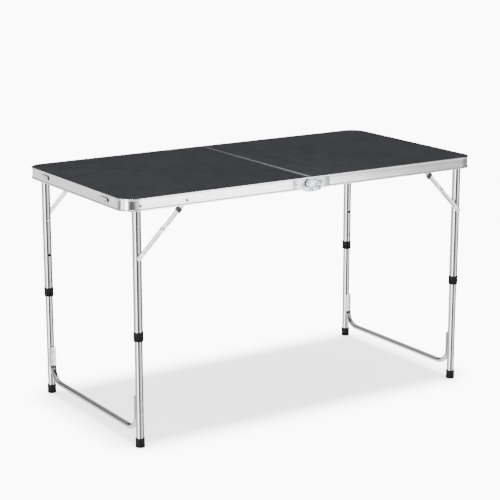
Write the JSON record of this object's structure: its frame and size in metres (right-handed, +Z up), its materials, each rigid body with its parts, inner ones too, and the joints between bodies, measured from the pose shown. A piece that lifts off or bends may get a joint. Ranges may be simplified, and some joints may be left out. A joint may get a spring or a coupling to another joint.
{
  "type": "folding picnic table",
  "caption": "Case-style folding picnic table: hinged top halves in an aluminium frame, folding telescopic legs with crossbars and two-part braces.",
  "frame": {"origin": "centre of the footprint, on the floor under the feet", "axes": "+X along the long side, +Z up, front long side faces -Y"},
  "size_m": [1.2096, 0.6058, 0.7],
  "materials": {
    "frame_aluminium": "satin brushed extrusion",
    "tube_aluminium": "bright drawn tube",
    "zinc_steel": "bright zinc plating",
    "black_plastic": "moulded, fine texture",
    "board_laminate": "dark grey laminate, soft sheen"
  },
  "bodies": {
    "left_top": {"top_board_left": "board_laminate", "seam_trim_left": "frame_aluminium", "end_rail_left": "frame_aluminium", "side_rail_front_left": "frame_aluminium", "side_rail_back_left": "frame_aluminium", "hinge_leaf_front_left": "zinc_steel", "hinge_leaf_back_left": "zinc_steel", "leg_pivot_rivet_front_left": "zinc_steel", "leg_pivot_rivet_back_left": "zinc_steel"},
    "right_top": {"top_board_right": "board_laminate", "seam_trim_right": "frame_aluminium", "end_rail_right": "frame_aluminium", "side_rail_front_right": "frame_aluminium", "side_rail_back_right": "frame_aluminium", "hinge_leaf_front_right": "zinc_steel", "hinge_leaf_back_right": "zinc_steel", "leg_pivot_rivet_front_right": "zinc_steel", "leg_pivot_rivet_back_right": "zinc_steel", "case_keeper_front": "zinc_steel", "case_keeper_back": "zinc_steel"},
    "left_leg": {"upper_tube_front_left": "tube_aluminium", "upper_tube_back_left": "tube_aluminium", "collar_front_left": "black_plastic", "collar_back_left": "black_plastic"},
    "left_leg_lower": {"lower_tube_front_left": "tube_aluminium", "lower_tube_back_left": "tube_aluminium", "foot_front_left": "black_plastic", "foot_back_left": "black_plastic", "crossbar_left": "tube_aluminium"},
    "left_brace_upper": {"brace_upper_front_left": "zinc_steel", "brace_upper_back_left": "zinc_steel"},
    "left_brace_lower": {"brace_lower_front_left": "zinc_steel", "brace_lower_back_left": "zinc_steel"},
    "slider_front_left": {"brace_slider_front_left": "black_plastic"},
    "button_front_left": {"snap_button_front_left": "zinc_steel"},
    "slider_back_left": {"brace_slider_back_left": "black_plastic"},
    "button_back_left": {"snap_button_back_left": "zinc_steel"},
    "right_leg": {"upper_tube_front_right": "tube_aluminium", "upper_tube_back_right": "tube_aluminium", "collar_front_right": "black_plastic", "collar_back_right": "black_plastic"},
    "right_leg_lower": {"lower_tube_front_right": "tube_aluminium", "lower_tube_back_right": "tube_aluminium", "foot_front_right": "black_plastic", "foot_back_right": "black_plastic", "crossbar_right": "tube_aluminium"},
    "right_brace_upper": {"brace_upper_front_right": "zinc_steel", "brace_upper_back_right": "zinc_steel"},
    "right_brace_lower": {"brace_lower_front_right": "zinc_steel", "brace_lower_back_right": "zinc_steel"},
    "slider_front_right": {"brace_slider_front_right": "black_plastic"},
    "button_front_right": {"snap_button_front_right": "zinc_steel"},
    "slider_back_right": {"brace_slider_back_right": "black_plastic"},
    "button_back_right": {"snap_button_back_right": "zinc_steel"},
    "hook_front": {"centre_hook_front": "zinc_steel"},
    "hook_back": {"centre_hook_back": "zinc_steel"},
    "latch_front": {"case_hook_front": "zinc_steel"},
    "latch_back": {"case_hook_back": "zinc_steel"},
    "handle": {"carry_handle": "black_plastic"}
  },
  "joints": [
    {"name": "table_fold", "type": "hinge", "parent": "left_top", "child": "right_top", "pos_m": [0, 0, 0.664], "axis": [0, 1, 0], "range_deg": [0, 75]},
    {"name": "left_leg_fold", "type": "hinge", "parent": "left_top", "child": "left_leg", "pos_m": [-0.551, 0, 0.6795], "axis": [0, -1, 0], "range_deg": [0, 90]},
    {"name": "left_leg_height", "type": "slide", "parent": "left_leg", "child": "left_leg_lower", "axis": [0, 0, 1], "range_m": [0, 0.156]},
    {"name": "left_brace_rail_pivot", "type": "hinge", "parent": "left_top", "child": "left_brace_upper", "pos_m": [-0.408, 0, 0.6795], "axis": [0, -1, 0], "range_deg": [-45, 0]},
    {"name": "left_brace_leg_pivot", "type": "hinge", "parent": "left_leg", "child": "left_brace_lower", "pos_m": [-0.551, 0, 0.5365], "axis": [0, -1, 0], "range_deg": [0, 45]},
    {"name": "brace_slider_front_left_slide", "type": "slide", "parent": "left_brace_upper", "child": "slider_front_left", "axis": [-0.7071, 0, -0.7071], "range_m": [0, 0.045]},
    {"name": "snap_button_front_left_press", "type": "slide", "parent": "left_leg_lower", "child": "button_front_left", "axis": [0, -1, 0], "range_m": [0, 0.004], "stiffness_N_per_m": 400, "springref_m": -0.004},
    {"name": "brace_slider_back_left_slide", "type": "slide", "parent": "left_brace_upper", "child": "slider_back_left", "axis": [-0.7071, 0, -0.7071], "range_m": [0, 0.045]},
    {"name": "snap_button_back_left_press", "type": "slide", "parent": "left_leg_lower", "child": "button_back_left", "axis": [0, 1, 0], "range_m": [0, 0.004], "stiffness_N_per_m": 400, "springref_m": -0.004},
    {"name": "right_leg_fold", "type": "hinge", "parent": "right_top", "child": "right_leg", "pos_m": [0.551, 0, 0.6795], "axis": [0, 1, 0], "range_deg": [0, 90]},
    {"name": "right_leg_height", "type": "slide", "parent": "right_leg", "child": "right_leg_lower", "axis": [0, 0, 1], "range_m": [0, 0.156]},
    {"name": "right_brace_rail_pivot", "type": "hinge", "parent": "right_top", "child": "right_brace_upper", "pos_m": [0.408, 0, 0.6795], "axis": [0, 1, 0], "range_deg": [-45, 0]},
    {"name": "right_brace_leg_pivot", "type": "hinge", "parent": "right_leg", "child": "right_brace_lower", "pos_m": [0.551, 0, 0.5365], "axis": [0, 1, 0], "range_deg": [0, 45]},
    {"name": "brace_slider_front_right_slide", "type": "slide", "parent": "right_brace_upper", "child": "slider_front_right", "axis": [0.7071, 0, -0.7071], "range_m": [0, 0.045]},
    {"name": "snap_button_front_right_press", "type": "slide", "parent": "right_leg_lower", "child": "button_front_right", "axis": [0, -1, 0], "range_m": [0, 0.004], "stiffness_N_per_m": 400, "springref_m": -0.004},
    {"name": "brace_slider_back_right_slide", "type": "slide", "parent": "right_brace_upper", "child": "slider_back_right", "axis": [0.7071, 0, -0.7071], "range_m": [0, 0.045]},
    {"name": "snap_button_back_right_press", "type": "slide", "parent": "right_leg_lower", "child": "button_back_right", "axis": [0, 1, 0], "range_m": [0, 0.004], "stiffness_N_per_m": 400, "springref_m": -0.004},
    {"name": "centre_hook_front_turn", "type": "hinge", "parent": "right_top", "child": "hook_front", "pos_m": [0.027, -0.3003, 0.6835], "axis": [0, 1, 0], "range_deg": [0, 60]},
    {"name": "centre_hook_back_turn", "type": "hinge", "parent": "right_top", "child": "hook_back", "pos_m": [0.027, 0.3003, 0.6835], "axis": [0, 1, 0], "range_deg": [0, 60]},
    {"name": "case_hook_front_turn", "type": "hinge", "parent": "left_top", "child": "latch_front", "pos_m": [-0.6003, -0.161, 0.683], "axis": [1, 0, 0], "range_deg": [0, 90]},
    {"name": "case_hook_back_turn", "type": "hinge", "parent": "left_top", "child": "latch_back", "pos_m": [-0.6003, 0.199, 0.683], "axis": [1, 0, 0], "range_deg": [0, 90]},
    {"name": "carry_handle_swing", "type": "hinge", "parent": "right_top", "child": "handle", "pos_m": [0.6026, 0, 0.683], "axis": [0, -1, 0], "range_deg": [0, 90]}
  ],
  "couplings": [
    {"joint": "left_brace_rail_pivot", "follows": "left_leg_fold", "ratio": -0.5},
    {"joint": "left_brace_leg_pivot", "follows": "left_leg_fold", "ratio": 0.5},
    {"joint": "right_brace_rail_pivot", "follows": "right_leg_fold", "ratio": -0.5},
    {"joint": "right_brace_leg_pivot", "follows": "right_leg_fold", "ratio": 0.5}
  ]
}
